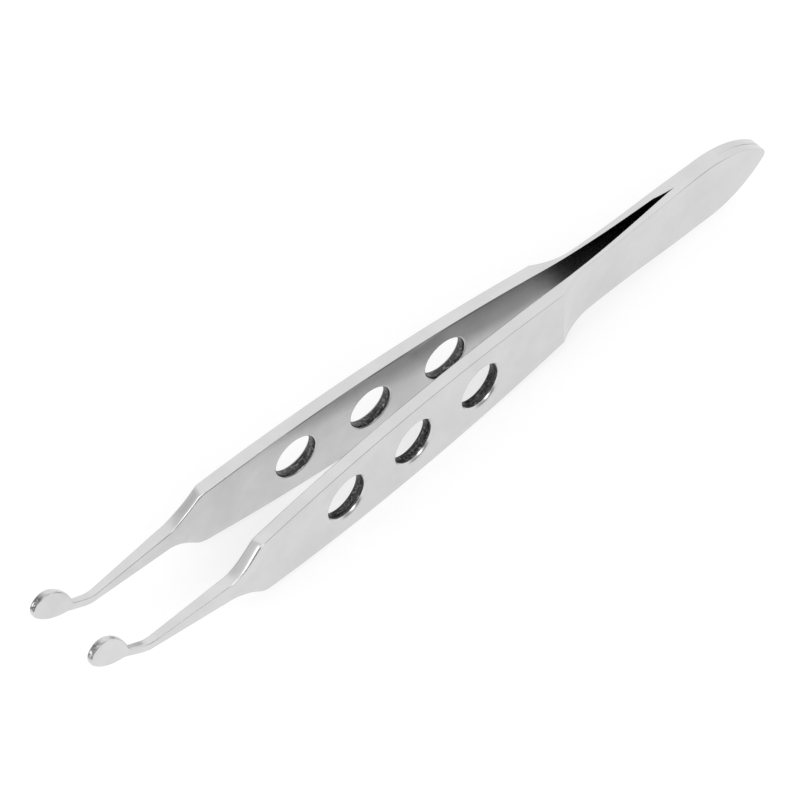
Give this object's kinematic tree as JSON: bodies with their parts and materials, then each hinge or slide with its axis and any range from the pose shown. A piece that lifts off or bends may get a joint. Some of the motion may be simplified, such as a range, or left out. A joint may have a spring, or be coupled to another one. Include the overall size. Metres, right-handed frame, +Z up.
{
  "type": "eyelid massage tweezers",
  "caption": "Slim stainless steel eyelid massage tweezers: flat handles with round grip holes, a thin spring behind them, and upturned oval plates on bent shanks.",
  "frame": {"origin": "on the surface the tweezers lie on, under the middle of their length, in the middle plane between the arms", "axes": "+X from the tail to the tips, +Y to the left arm, +Z up, towards the side that the plates turn up to"},
  "size_m": [0.0987, 0.0108, 0.0113],
  "materials": {
    "steel": "satin, finely brushed along the handles, brighter on the ground edges"
  },
  "bodies": {
    "tail": {"tail_weld": "steel"},
    "left_arm": {"left_arm": "steel"},
    "right_arm": {"right_arm": "steel"}
  },
  "joints": [
    {"name": "left_flex", "type": "hinge", "parent": "tail", "child": "left_arm", "pos_m": [-0.03777, 0.00012, 0.00522], "axis": [0, 0, -1], "range_deg": [0, 2.54], "stiffness_Nm_per_rad": 2},
    {"name": "right_flex", "type": "hinge", "parent": "tail", "child": "right_arm", "pos_m": [-0.03777, -0.00012, 0.00522], "axis": [0, 0, 1], "range_deg": [0, 2.54], "stiffness_Nm_per_rad": 2}
  ],
  "couplings": [
    {"joint": "right_flex", "follows": "left_flex", "ratio": 1}
  ]
}
